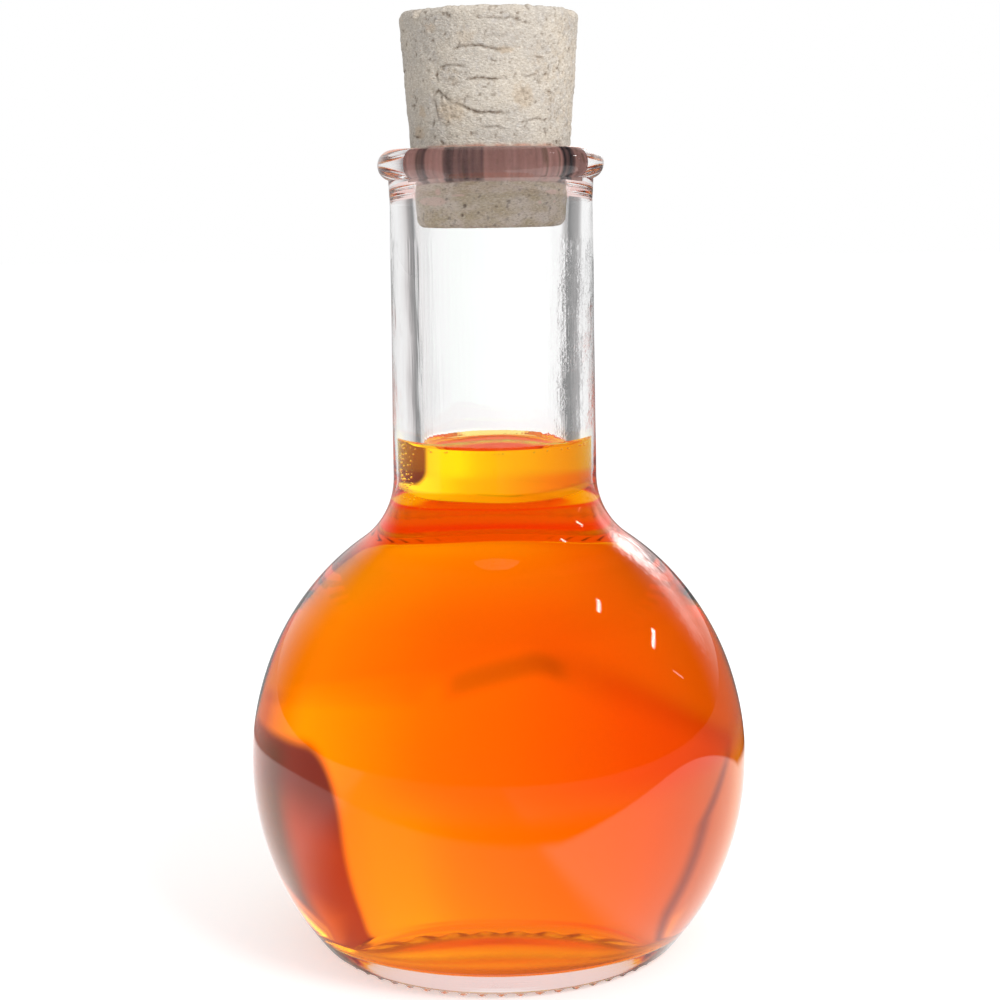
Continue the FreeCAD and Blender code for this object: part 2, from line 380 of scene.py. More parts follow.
def ribs(grid, turn):
    """How far the bearing ring's ribs drop: RIB_COUNT rounded bars, each a raised cosine."""
    radius = np.hypot(grid[..., 0], grid[..., 1])
    ring_turn = math.asin((RING_HEIGHT - BODY_CENTRE_Z) / BODY_HALF_HEIGHT)
    ring_inner = BODY_RADIUS * math.cos(ring_turn) - RING_WIDTH
    low = ring_inner + RIB_INSET
    high = low + RIB_LENGTH
    inside = between(low, low + RIB_SOFT_END, radius)
    inside = inside * (1 - between(high - RIB_SOFT_END, high, radius))
    on_ring = grid[..., 2] < RING_HEIGHT + 0.35 * MM
    across = np.clip(0.15 + 0.85 * np.cos(RIB_COUNT * turn), 0.0, 1.0)
    return inside * on_ring * np.sqrt(across) * grid[..., 2]


def make_glass():
    """One skin: outside from the push-up to the mouth, then the cavity back to the floor.

    The faces below the liquid's edge get the second material, glass against liquid.
    """
    outer, turn = carried_round(outside_profile(), GLASS_COLUMNS)
    outer[..., 2] -= ribs(outer, turn)
    sway = OUTER_RIPPLE * ripple(turn, outer[..., 2], 5, 10, 30 * MM)
    sway = sway * between(3 * MM, 10 * MM, outer[..., 2])
    outer[..., 0] += sway * np.cos(turn)
    outer[..., 1] += sway * np.sin(turn)
    inner = hollow_grid(0.0, BOTTLE_HEIGHT - MOUTH_RIM_FILLET, GLASS_COLUMNS)[::-1]
    under = (0.0, 0.0, RING_HEIGHT + PUSH_UP_DEPTH)
    floor = (0.0, 0.0, FLOOR_HEIGHT + FLOOR_DOME)
    piece = mesh_piece("bottle_glass", [closed_skin(np.concatenate([outer, inner]), under, floor)])
    middles = face_middles(piece.data)
    slots = np.zeros(len(middles), dtype=np.int32)
    quads_out = (len(outer) - 1) * GLASS_COLUMNS
    quads_all = (len(outer) + len(inner) - 1) * GLASS_COLUMNS
    wet = middles[:, 2] < LIQUID_LEVEL + MENISCUS_RISE
    wet[:quads_out + GLASS_COLUMNS] = False
    wet[quads_all:quads_all + GLASS_COLUMNS] = False
    slots[wet] = 1
    piece.data.materials.append(clear_glass("clear blown glass", GLASS_IOR))
    piece.data.materials.append(clear_glass("clear glass against liquid", GLASS_IOR / LIQUID_IOR))
    piece.data.polygons.foreach_set("material_index", slots)
    return piece


def bubbles():
    """Small bubbles under the surface's edge, and a cloud of them on one side of the neck."""
    dice = np.random.default_rng(41)
    found = []
    for count, turns, heights, depths, sizes in (
            (60, (-3.75, -2.8), (-7.6, -0.4), (0.12, 0.4), (0.06, 0.14)),
            (60, (0.0, 2 * math.pi), (-0.25, 0.0), (0.15, 0.6), (0.05, 0.12)),
            (26, (0.0, 2 * math.pi), (-8.0, -0.5), (0.15, 0.35), (0.04, 0.08))):
        for _ in range(count):
            turn = dice.uniform(*turns)
            radius = 8.6 * MM - dice.uniform(*depths) * MM
            height = LIQUID_LEVEL + dice.uniform(*heights) * MM
            size = dice.uniform(*sizes) * MM
            centre = (radius * math.cos(turn), radius * math.sin(turn), height - size)
            found.append(ball(np.array(centre), size, True))
    return found


def make_liquid():
    """The cavity's wall up to the meniscus, then the surface back to the axis, and bubbles."""
    rim_z = LIQUID_LEVEL + MENISCUS_RISE
    wall = hollow_grid(-LIQUID_FILM, rim_z, LIQUID_COLUMNS)
    rim_r = np.hypot(wall[-1, 0, 0], wall[-1, 0, 1])
    share = np.linspace(0.0, 1.0, 16)[1:-1, None]
    reach = rim_r * (1 - share) ** 1.5 + 0.3 * MM * (1 - (1 - share) ** 1.5)
    climb = MENISCUS_RISE * np.exp(-(rim_r - reach) / (0.35 * MENISCUS_WIDTH))
    top, turn = carried_round(np.hstack([reach, LIQUID_LEVEL + climb]), LIQUID_COLUMNS)
    foot = (0.0, 0.0, FLOOR_HEIGHT + FLOOR_DOME + LIQUID_FILM)
    body = closed_skin(np.concatenate([wall, top]), foot, (0.0, 0.0, LIQUID_LEVEL))
    piece = mesh_piece("bottle_liquid", [body] + bubbles())
    middles = face_middles(piece.data)
    quads_wall = (len(wall) - 1) * LIQUID_COLUMNS
    against_air = np.ones(len(middles))
    against_air[:quads_wall] = 0.0
    against_air[middles[:, 2] < FLOOR_HEIGHT + 2 * FLOOR_DOME] = 0.0
    keep_amount(piece.data, "against_air", against_air, "FACE")
    piece.data.materials.append(orange_liquid())
    return piece


CORK_CRACKS = [
    # depth, half width, and where it runs: degrees round from the seen side and height
    (0.13, 0.10, ((-4, 23.8), (5, 23.6), (13, 23.55), (20, 23.35), (26, 22.95))),
    (0.07, 0.10, ((-4, 21.55), (4, 21.8), (14, 21.5))),
    (0.20, 0.12, ((-24, 20.35), (-14, 20.68), (-4, 20.66), (2, 20.3), (7, 20.12), (14, 20.25))),
    (0.14, 0.10, ((-35, 18.2), (-28, 18.45), (-15, 18.35))),
    (0.13, 0.12, ((-36, 18.1), (-36.5, 17.3), (-35, 16.6))),
    (0.20, 0.12, ((-16, 16.85), (-8, 17.05), (2, 16.9), (12, 17.05))),
    (0.15, 0.13, ((-41, 15.0), (-36, 15.7), (-29, 14.9), (-25, 14.5))),
    (0.20, 0.13, ((-26, 14.5), (-17, 13.85), (-10, 13.25), (2, 13.05), (14, 13.12))),
    (0.14, 0.14, ((-40, 14.9), (-39, 13.8), (-37, 12.5))),
    (0.12, 0.11, ((-7, 11.4), (1, 11.6), (11, 11.35))),
    (0.10, 0.10, ((-44, 19.1), (-36, 19.3))),
    (0.12, 0.11, ((21, 17.3), (27, 17.1), (33, 17.5))),
    (0.12, 0.10, ((30, 19.4), (38, 19.2))),
    (0.12, 0.11, ((24, 12.2), (35, 12.5), (42, 12.2))),
    (0.12, 0.10, ((40, 15.6), (49, 15.3))),
]
CORK_ROUGH_PATCHES = [
    # degrees round, height, half width, half height
    (-24.0, 17.3, 1.9, 1.1),
    (-28.0, 13.7, 2.1, 1.6),
    (23.0, 14.9, 1.4, 1.5),
    (62.0, 17.0, 5.6, 9.5),
    (38.0, 19.0, 2.4, 3.4),
]
CORK_BLOTCHES = [
    # degrees round, height, half width, half height, strength
    (-40.0, 22.8, 1.0, 0.6, 0.55),
    (-53.0, 13.5, 0.8, 0.9, 0.7),
    (-60.0, 11.1, 1.3, 0.9, 0.8),
    (-14.5, 21.6, 1.2, 1.1, 0.35),
    (-28.0, 13.4, 2.2, 1.4, 0.7),
    (23.0, 15.0, 1.6, 1.6, 0.6),
    (10.0, 20.1, 1.2, 0.4, 0.8),
]
# Painted shade of small holes: dark spots only, with no hollow in the mesh.
CORK_HOLE_SHADES = [
    # degrees round, height, half width
    (-18.0, 2.7, 0.32),
    (-62.0, 1.3, 0.22),
    (-20.0, 1.6, 0.25),
    (52.0, 4.9, 0.2),
]
CORK_ROSY_PATCHES = [
    # degrees round, height, half width, half height
    (-46.0, 3.4, 2.5, 0.62),
    (-38.0, 4.7, 0.5, 0.55),
    (35.0, 3.05, 0.35, 0.28),
    (48.0, 3.15, 0.35, 0.28),
    (-23.0, 4.15, 0.9, 0.14),
    (44.0, 4.6, 1.1, 0.4),
    (150.0, 3.0, 2.0, 0.8),
]
CORK_CHIPS = [
    # degrees round, radius of the bite, and how far it reaches in
    (-52.0, 1.2, 1.25),
    (-84.0, 0.8, 0.3),
    (68.0, 1.4, 1.15),
    (3.0, 0.8, 0.4),
    (158.0, 2.0, 0.6),
    (-118.0, 1.6, 0.6),
    (100.0, 1.0, 0.4),
]


def tilted(places, degrees):
    """Places turned about the cube's diagonal, so that lattices don't line up."""
    turn = math.radians(degrees)
    even = (1 + 2 * math.cos(turn)) / 3
    back = (1 - math.cos(turn) - math.sqrt(3) * math.sin(turn)) / 3
    on = (1 - math.cos(turn) + math.sqrt(3) * math.sin(turn)) / 3
    return places @ np.array([[even, back, on], [on, even, back], [back, on, even]])


def rough_noise(places, cell, seed, octaves=3):
    """Sum of lattice noises about 1 high, each on a lattice turned and half as wide."""
    total = np.zeros(places.shape[:-1])
    for octave in range(octaves):
        finer = 2.0 ** octave
        turned = tilted(places, 37.0 + 61.0 * octave)
        total += lattice_noise(turned, cell / finer, seed + octave) / finer
    return total


def wrapped(angle):
    """Angle brought to between half a turn back and half a turn on."""
    return (angle + math.pi) % (2 * math.pi) - math.pi


def far_cracks():
    """More slits for the sides that turn away, about the same in size and number."""
    dice = np.random.default_rng(23)
    found = []
    for _ in range(46):
        turn = dice.uniform(58.0, 302.0)
        level = dice.uniform(10.0, 24.0)
        half = dice.uniform(3.0, 15.0)
        bow = dice.normal(0, 0.22)
        lean = dice.normal(0, 0.15)
        run = ((turn - half, level - lean), (turn, level + bow), (turn + half, level + lean))
        found.append((dice.uniform(0.07, 0.2), dice.uniform(0.09, 0.13), run))
    return found


def from_crack(across, up, run):
    """Height over a crack's line, the distance past its ends and the share run along it.

    Every place takes the nearest piece of the broken line; lengths are in millimetres.
    """
    nearest = np.full(up.shape, np.inf)
    over = np.zeros(up.shape)
    share = np.zeros(up.shape)
    turns = np.radians([place[0] for place in run]) * CORK_TOP_RADIUS / MM
    for index in range(len(run) - 1):
        start = (turns[index], run[index][1])
        step = (turns[index + 1] - start[0], run[index + 1][1] - start[1])
        along = (across - start[0]) * step[0] + (up - start[1]) * step[1]
        part = np.clip(along / (step[0] ** 2 + step[1] ** 2), 0.0, 1.0)
        off_across = across - start[0] - part * step[0]
        off_up = up - start[1] - part * step[1]
        away = np.hypot(off_across, off_up)
        closer = away < nearest
        nearest = np.where(closer, away, nearest)
        over = np.where(closer, np.where(off_up >= 0, away, -away), over)
        share = np.where(closer, (index + part) / (len(run) - 1), share)
    return over, share


def near(around, height, centre, half):
    """Distance from a patch's middle, 1 at its edge, on the cork's side."""
    across = wrapped(around - math.radians(centre[0])) * CORK_TOP_RADIUS / MM / half[0]
    return np.hypot(across, (height - centre[1]) / half[1])


def cork_marks(places, around, height):
    """Depth of the cork's slits and grit, and how dark and how ochre each place is.

    A slit is steep on its upper side and runs out slowly below, and fades at its ends. The
    grit is rough noise, higher inside the rough patches. The darkness is painted shade: a
    line along each slit's upper edge, and in the grit's pits, the specks and the holes.
    """
    wander = 0.13 * rough_noise(places, 0.9 * MM, 3, 2)
    ragged = rough_noise(places, 0.5 * MM, 7, 2)
    slit = np.zeros(around.shape)
    slit_shade = np.zeros(around.shape)
    for depth, width, run in CORK_CRACKS + far_cracks():
        middle = run[len(run) // 2][0]
        across = wrapped(around - math.radians(middle)) + math.radians(middle)
        over, share = from_crack(across * CORK_TOP_RADIUS / MM, height + wander, run)
        fade = np.sqrt(np.clip(np.sin(math.pi * share), 0, 1)) * np.clip(0.85 + 0.5 * ragged, 0, 1.3)
        side = np.where(over > 0, 0.8 * width, 3.4 * width)
        slit = np.maximum(slit, depth * fade * np.exp(-(over / side) ** 2))
        # Painted shade: a dark line along the slit at its steep upper side, where its wall is in
        # shadow.
        slit_shade = np.maximum(slit_shade, depth / 0.16 * fade * np.exp(-((over - 0.02) / width) ** 2))
    rough = np.zeros(around.shape)
    for turn, level, half_across, half_up in CORK_ROUGH_PATCHES:
        edge = near(around, height, (turn, level), (half_across, half_up)) + 0.35 * ragged
        rough = np.maximum(rough, 1 - between(0.7, 1.2, edge))
    ochre = 0.35 * rough * between(-0.2, 0.5, ragged)
    for turn, level, half_across, half_up, strength in CORK_BLOTCHES:
        edge = near(around, height, (turn, level), (half_across, half_up)) + 0.3 * ragged
        ochre = np.maximum(ochre, strength * (1 - between(0.5, 1.2, edge)))
    rough = np.maximum(rough, 0.6 * between(0.0, 0.8, rough_noise(places, 2.4 * MM, 9, 2)))
    grit = rough_noise(places, 0.36 * MM, 14, 2)
    specks = between(0.55, 1.05, rough_noise(places, 0.5 * MM, 17, 2))
    depth = slit + (0.03 + 0.06 * rough) * grit + 0.09 * specks
    # Painted shade in the specks and in the grit's deeper pits, more inside the rough patches.
    dark = 0.95 * slit_shade + 0.7 * specks + (0.12 + 0.4 * rough) * between(0.2, 1.0, grit)
    # Painted shade of the holes.
    for turn, level, half in CORK_HOLE_SHADES:
        edge = near(around, height, (turn, level), (half, half))
        dark = np.maximum(dark, 1.2 * (1 - between(0.4, 1.1, edge)))
    return depth, np.clip(dark, 0, 1), np.clip(ochre, 0, 1)


def cork_stains_and_painted_light(places, around, height):
    """Amounts of each stain and of painted light, by name: the cork is wet below the mouth, where
    its colour is lightened with painted light, with a band at the lip.

    The band is painted reflection and shade of the lip's glass: lighter towards its edges,
    crossed by dark bars, with an orange line at its top where the lip shows the liquid.
    Rosy patches lie below it. Heights are in millimetres over the cork's foot.
    """
    uneven = lattice_noise(places, 1.2 * MM, 31) * 0.35 + lattice_noise(places, 0.4 * MM, 32) * 0.15
    damp_and_painted_light = 1 - between(8.7, 9.5, height + uneven)
    band = between(5.9, 6.3, height + 0.2 * uneven) * (1 - between(8.9, 9.6, height + uneven))
    degrees = np.degrees(around)
    thread = np.stack([np.cos(around), np.sin(around), 0.02 * height], -1)
    streak = rough_noise(thread, 0.05, 35, 2)
    # Painted shade: dark bars where the lip's glass shows dark surroundings.
    bars = np.zeros(around.shape)
    for low, high, strength in (
            (-52, -44, 0.75), (-31, -4, 0.7), (50, 61, 0.95), (120, 150, 0.6), (-150, -118, 0.6)):
        begun = between(low - 1.6, low + 1.6, degrees)
        ended = between(high - 1.6, high + 1.6, degrees)
        bars = np.maximum(bars, strength * begun * (1 - ended))
    bars = np.clip(bars + 0.28 * streak, 0, 1) * band
    # Painted reflection: an orange line at the band's top where the lip shows the liquid's colour.
    painted_liquid_line = np.exp(-((height - 9.3 + 0.5 * uneven) / 0.3) ** 2)
    painted_liquid_line = painted_liquid_line * between(-54, -40, degrees) * (1 - between(44, 58, degrees))
    # Painted light: the band lighter towards its top and bottom edges.
    worn_and_painted_light = band * between(0.55, 1.5, np.abs(height - 7.85 - 0.2 * between(-60, 60, degrees)))
    rosy = np.zeros(around.shape)
    for turn, level, half_across, half_up in CORK_ROSY_PATCHES:
        edge = near(around, height, (turn, level), (half_across, half_up)) + 1.5 * uneven
        rosy = np.maximum(rosy, 1 - between(0.6, 1.15, edge))
    return {"damp_and_painted_light": damp_and_painted_light, "band": band, "bars": bars, "painted_liquid_line": painted_liquid_line, "worn_and_painted_light": worn_and_painted_light, "rosy": rosy}


def make_cork():
    """Tapered plug with rounded ends, eaten by slits, grit and chips.

    Where the lip grips it the plug is pressed against the glass, a hair past the bore's wall.
    """
    top_r = CORK_TOP_RADIUS
    foot_r = cork_radius_at(CORK_FOOT_Z)
    lean = CORK_HALF_TAPER
    foot_centre = (foot_r - CORK_FOOT_ROUND, CORK_FOOT_Z + CORK_FOOT_ROUND)
    top_centre = (top_r - CORK_TOP_ROUND * 1.05, CORK_TOP_Z - CORK_TOP_ROUND)
    side = np.array([math.cos(lean), -math.sin(lean)])
    side_foot = np.array(foot_centre) + CORK_FOOT_ROUND * side
    side_top = np.array(top_centre) + CORK_TOP_ROUND * side
    profile = np.concatenate([
        straight((0.3 * MM, CORK_FOOT_Z), (foot_centre[0], CORK_FOOT_Z), 12),
        round_arc(foot_centre, CORK_FOOT_ROUND, -math.pi / 2, -lean, 8),
        straight(side_foot, side_top, 152),
        round_arc(top_centre, CORK_TOP_ROUND, -lean, math.pi / 2, 10),
        straight((top_centre[0], CORK_TOP_Z), (0.3 * MM, CORK_TOP_Z), 22),
    ])
    grid, turn = carried_round(profile, CORK_COLUMNS)
    step = np.gradient(profile, axis=0)
    outward = np.stack([step[:, 1], -step[:, 0]], -1) / np.hypot(*step.T)[:, None]
    push, _ = carried_round(outward, CORK_COLUMNS)
    around = np.broadcast_to(wrapped(turn + math.pi / 2), grid.shape[:2])
    height = (grid[..., 2] - CORK_FOOT_Z) / MM
    depth, dark, ochre = cork_marks(grid, around, height)
    stain_and_light_amounts = cork_stains_and_painted_light(grid, around, height)
    waves = 0.06 * lattice_noise(tilted(grid, 20.0), 4.5 * MM, 21)
    waves = waves + 0.05 * rough_noise(grid, 1.2 * MM, 22, 2)
    waves = waves + 0.09 * between(23.6, 24.6, height) * rough_noise(grid, 0.9 * MM, 25, 2)
    tall = grid * np.array([1, 1, 0.1])
    cuts = 0.05 * lattice_noise(tall, 0.7 * MM, 24) * between(0.4, 1.0, np.abs(around))
    seat = 1 - between(8.0, 9.6, height)
    sink = 0.06 + (depth - waves - cuts) * (1 - 0.6 * seat)
    seat_depth = (BOTTLE_HEIGHT - CORK_FOOT_Z) / MM
    widening = (SEAT_END_CLEARANCE - SEAT_CLEARANCE) / (seat_depth * MM + SEAT_RUN_OUT)
    clearance = SEAT_CLEARANCE / MM + widening * (seat_depth - height)
    degrees = np.degrees(around)
    gripped = between(-68, -62, degrees) * (1 - between(74, 80, degrees))
    gripped = gripped + between(125, 133, np.abs(degrees))
    pressed = gripped * between(6.2, 6.45, height) * (1 - between(8.9, 9.5, height))
    sink = sink * (1 - pressed) - (clearance + PRESSED_IN / MM) * pressed
    for where, bite, reach in CORK_CHIPS:
        angle = math.radians(where)
        out = top_r / MM - 0.2 + bite - reach
        up = CORK_TOP_Z / MM - 0.2 + (bite - reach) * 0.6
        centre = np.array([out * math.sin(angle), -out * math.cos(angle), up])
        away = np.linalg.norm(grid / MM - centre, axis=-1)
        torn = bite + 0.22 * rough_noise(grid, 0.7 * MM, 27, 2) - away
        sink = np.maximum(sink, 0.9 * torn)
        ochre = np.maximum(ochre, 0.15 * between(0.0, 0.25, torn))
        # Painted shade: a dark line round the rim of each chip.
        rim = between(-0.06, 0.05, torn) * (1 - between(0.12, 0.3, torn))
        dark = np.maximum(dark, 0.45 * rim * between(-0.3, 0.4, rough_noise(grid, 0.6 * MM, 29, 2)))
    grid = grid - push * (sink * MM)[..., None]
    foot = (0, 0, CORK_FOOT_Z + 0.06 * MM)
    top = (0, 0, CORK_TOP_Z - 0.06 * MM)
    piece = mesh_piece("cork_plug", [closed_skin(grid, foot, top)])
    for name, values in {"dark": dark, "ochre": ochre, **stain_and_light_amounts}.items():
        ends = [values[0].mean(), values[-1].mean()]
        keep_amount(piece.data, name, np.concatenate([values.ravel(), ends]))
    piece.data.materials.append(natural_cork())
    return piece


class Amount:
    """A number worked out by math nodes, so that a formula in nodes reads as a formula."""

    def __init__(self, tree, socket):
        self.tree = tree
        self.socket = socket

    def feed(self, place):
        self.tree.links.new(self.socket, place)

    def by(self, operation, *others):
        node = self.tree.nodes.new("ShaderNodeMath")
        node.operation = operation
        for place, value in zip(node.inputs, (self, *others)):
            if isinstance(value, Amount):
                value.feed(place)
            else:
                place.default_value = value
        return Amount(self.tree, node.outputs[0])

    def __add__(self, other):
        return self.by("ADD", other)

    def __sub__(self, other):
        return self.by("SUBTRACT", other)

    def __mul__(self, other):
        return self.by("MULTIPLY", other)

    def __truediv__(self, other):
        return self.by("DIVIDE", other)

    def ranged(self, low, high, first=0.0, last=1.0, smooth=False):
        node = self.tree.nodes.new("ShaderNodeMapRange")
        node.interpolation_type = "SMOOTHSTEP" if smooth else "LINEAR"
        self.feed(node.inputs["Value"])
        node.inputs["From Min"].default_value = low
        node.inputs["From Max"].default_value = high
        node.inputs["To Min"].default_value = first
        node.inputs["To Max"].default_value = last
        return Amount(self.tree, node.outputs["Result"])

    def ease(self, low, high):
        """0 at low, 1 at high, a smooth step between; low may be the larger."""
        return self.ranged(low, high, smooth=True)

    def slope(self, low, high, first, last):
        """A straight line from first at low to last at high, level past both."""
        return self.ranged(low, high, first, last)

    def window(self, low, high, soft):
        """1 between low and high, easing to 0 over soft on each side."""
        return self.ease(low - soft, low + soft) * self.ease(high + soft, high - soft)


def length_of(first, second):
    """Square root of the sum of two squares."""
    return (first * first + second * second).by("SQRT")


def rounded_card(across, up, centre, half, corner):
    """How far outside a round-cornered card a direction lies, in degrees; negative inside.

    The distance is the length of the part past the corner's centre, max(|p| - half + r, 0),
    less the corner's radius r.
    """
    beyond_across = ((across - centre[0]).by("ABSOLUTE") - (half[0] - corner)).by("MAXIMUM", 0.0)
    beyond_up = ((up - centre[1]).by("ABSOLUTE") - (half[1] - corner)).by("MAXIMUM", 0.0)
    return length_of(beyond_across, beyond_up) - corner


def blend(tree, share, first, second):
    """Colour between two, each a socket or a plain colour."""
    node = tree.nodes.new("ShaderNodeMix")
    node.data_type = "RGBA"
    node.clamp_result = False
    share.feed(node.inputs["Factor"])
    for place, colour in ((node.inputs[6], first), (node.inputs[7], second)):
        if isinstance(colour, tuple):
            place.default_value = (*colour, 1.0)
        else:
            tree.links.new(colour, place)
    return node.outputs[2]


def coated(tree, colour, coats):
    """Colour after each coat, a share and a colour, has gone over what is under it."""
    for share, coat in coats:
        colour = blend(tree, share, colour, coat)
    return colour


def either(tree, share, first, second):
    """Surface between two: the first where the share is 0 and the second where it is 1."""
    node = tree.nodes.new("ShaderNodeMixShader")
    share.feed(node.inputs["Fac"])
    tree.links.new(first, node.inputs[1])
    tree.links.new(second, node.inputs[2])
    return node.outputs["Shader"]


def coordinates(tree, kind="Object"):
    """The three coordinates of a shaded place or, as Generated in the world, of a direction."""
    parts = tree.nodes.new("ShaderNodeSeparateXYZ")
    tree.links.new(tree.nodes.new("ShaderNodeTexCoord").outputs[kind], parts.inputs["Vector"])
    return [Amount(tree, parts.outputs[axis]) for axis in "XYZ"]


def noise(tree, scale, detail=2.0, stretch=(1.0, 1.0, 1.0), kind="Object"):
    """Noise from 0 to 1 on those coordinates; scale is in waves a metre, or a unit of direction."""
    where = tree.nodes.new("ShaderNodeTexCoord").outputs[kind]
    mapping = tree.nodes.new("ShaderNodeMapping")
    mapping.inputs["Scale"].default_value = stretch
    tree.links.new(where, mapping.inputs["Vector"])
    node = tree.nodes.new("ShaderNodeTexNoise")
    node.inputs["Scale"].default_value = scale
    node.inputs["Detail"].default_value = detail
    tree.links.new(mapping.outputs["Vector"], node.inputs["Vector"])
    return Amount(tree, node.outputs["Fac"])


def raised(tree, height, strength, distance):
    """Normals of a surface that a height from 0 to 1 lifts by a distance; strength thins it."""
    bump = tree.nodes.new("ShaderNodeBump")
    bump.inputs["Distance"].default_value = distance
    height.feed(bump.inputs["Height"])
    if isinstance(strength, Amount):
        strength.feed(bump.inputs["Strength"])
    else:
        bump.inputs["Strength"].default_value = strength
    return bump.outputs["Normal"]


def stored(tree, name):
    """The number kept on each point or face under a name."""
    node = tree.nodes.new("ShaderNodeAttribute")
    node.attribute_name = name
    return Amount(tree, node.outputs["Fac"])


def ray_kind(tree, name):
    """What Light Path says of the ray, such as 1 for one that comes straight from the camera."""
    return Amount(tree, tree.nodes.new("ShaderNodeLightPath").outputs[name])


def new_material(name):
    material = bpy.data.materials.new(name)
    material.use_nodes = True
    tree = material.node_tree
    return material, tree, tree.nodes["Principled BSDF"]


def let_light_through(surface, ior):
    """Makes a surface as clear and smooth as polished glass of that index."""
    surface.inputs["Base Color"].default_value = (1.0, 1.0, 1.0, 1.0)
    surface.inputs["Roughness"].default_value = 0.0
    surface.inputs["IOR"].default_value = ior
    surface.inputs["Transmission Weight"].default_value = 1.0


def clear_glass(name, ior):
    """Soda glass with nothing in it; the index is that of glass over what lies against it.

    Against air it has streaks, and the back part of the base's underside is worn a little dull.
    """
    material, tree, surface = new_material(name)
    let_light_through(surface, ior)
    if ior == GLASS_IOR:
        _, y, z = coordinates(tree)
        tree.links.new(drawn_streaks(tree), surface.inputs["Normal"])
        worn_and_painted_light = z.ease(1.6 * MM, 1.0 * MM) * y.ease(-6 * MM, 0.0) * 0.25
        worn_and_painted_light.feed(surface.inputs["Roughness"])
    return material


def drawn_streaks(tree):
    """Normals of the neck's upright streaks, the grit on its right and the heel's level streaks."""
    x, _, z = coordinates(tree)
    neck = z.ease(LIQUID_LEVEL, LIQUID_LEVEL + 2 * MM) * z.ease(88 * MM, 86 * MM)
    streaks = noise(tree, 2200.0, 1.0, (1.0, 1.0, 0.05))
    patchy = noise(tree, 300.0).ease(0.42, 0.6) * x.ease(5 * MM, 7 * MM)
    grit = noise(tree, 3000.0) * patchy * 1.6
    heel = z.ease(4.6 * MM, 3.4 * MM)
    level = noise(tree, 2600.0, 2.0, (0.05, 0.05, 1.0)) * heel
    return raised(tree, (streaks + grit) * neck + level, neck * 0.9 + heel * 0.3, 0.02 * MM)


def orange_liquid():
    """Clear orange liquid, coloured by how far light goes in it.

    Its wall lies in the glass's own wetted face, which bends the light there, so the wall
    itself bends nothing. It is tinted, so that the narrow neck shows as deep in colour as
    the body, and the front edge of the floor is darkened with painted shade. The open surface
    and the bubbles bend light as liquid against air. From above the surface mirrors little,
    since fine waves break it up.
    """
    material, tree, surface = new_material("orange liquid")
    wall = tree.nodes.new("ShaderNodeBsdfPrincipled")
    let_light_through(surface, LIQUID_IOR)
    let_light_through(wall, 1.0)
    x, y, z = coordinates(tree)
    foot = z.ease(6.0 * MM, 4.6 * MM) * y.ease(-12 * MM, -17 * MM)
    tint_and_painted_shade = coated(tree, (1.0, 1.0, 1.0), [
        (z.ease(50 * MM, 54 * MM), (0.96, 0.84, 0.12)),
        # Painted shade: the liquid's front edge along the floor darkened, more towards the right.
        (foot * x.slope(-14 * MM, 12 * MM, 0.25, 1.0), (0.55, 0.45, 0.6)),
    ])
    tree.links.new(tint_and_painted_shade, wall.inputs["Base Color"])
    broken = tree.nodes.new("ShaderNodeBsdfRefraction")
    broken.inputs["IOR"].default_value = LIQUID_IOR
    broken.inputs["Roughness"].default_value = 0.0
    from_within = Amount(tree, tree.nodes.new("ShaderNodeNewGeometry").outputs["Backfacing"])
    top = either(tree, from_within * 0.85 + 0.15, broken.outputs["BSDF"], surface.outputs["BSDF"])
    skin = either(tree, stored(tree, "against_air"), wall.outputs["BSDF"], top)
    depth = tree.nodes.new("ShaderNodeVolumeAbsorption")
    depth.inputs["Color"].default_value = (0.997, 0.88, 0.05, 1.0)
    depth.inputs["Density"].default_value = 280.0
    output = tree.nodes["Material Output"]
    tree.links.new(skin, output.inputs["Surface"])
    tree.links.new(depth.outputs["Volume"], output.inputs["Volume"])
    return material


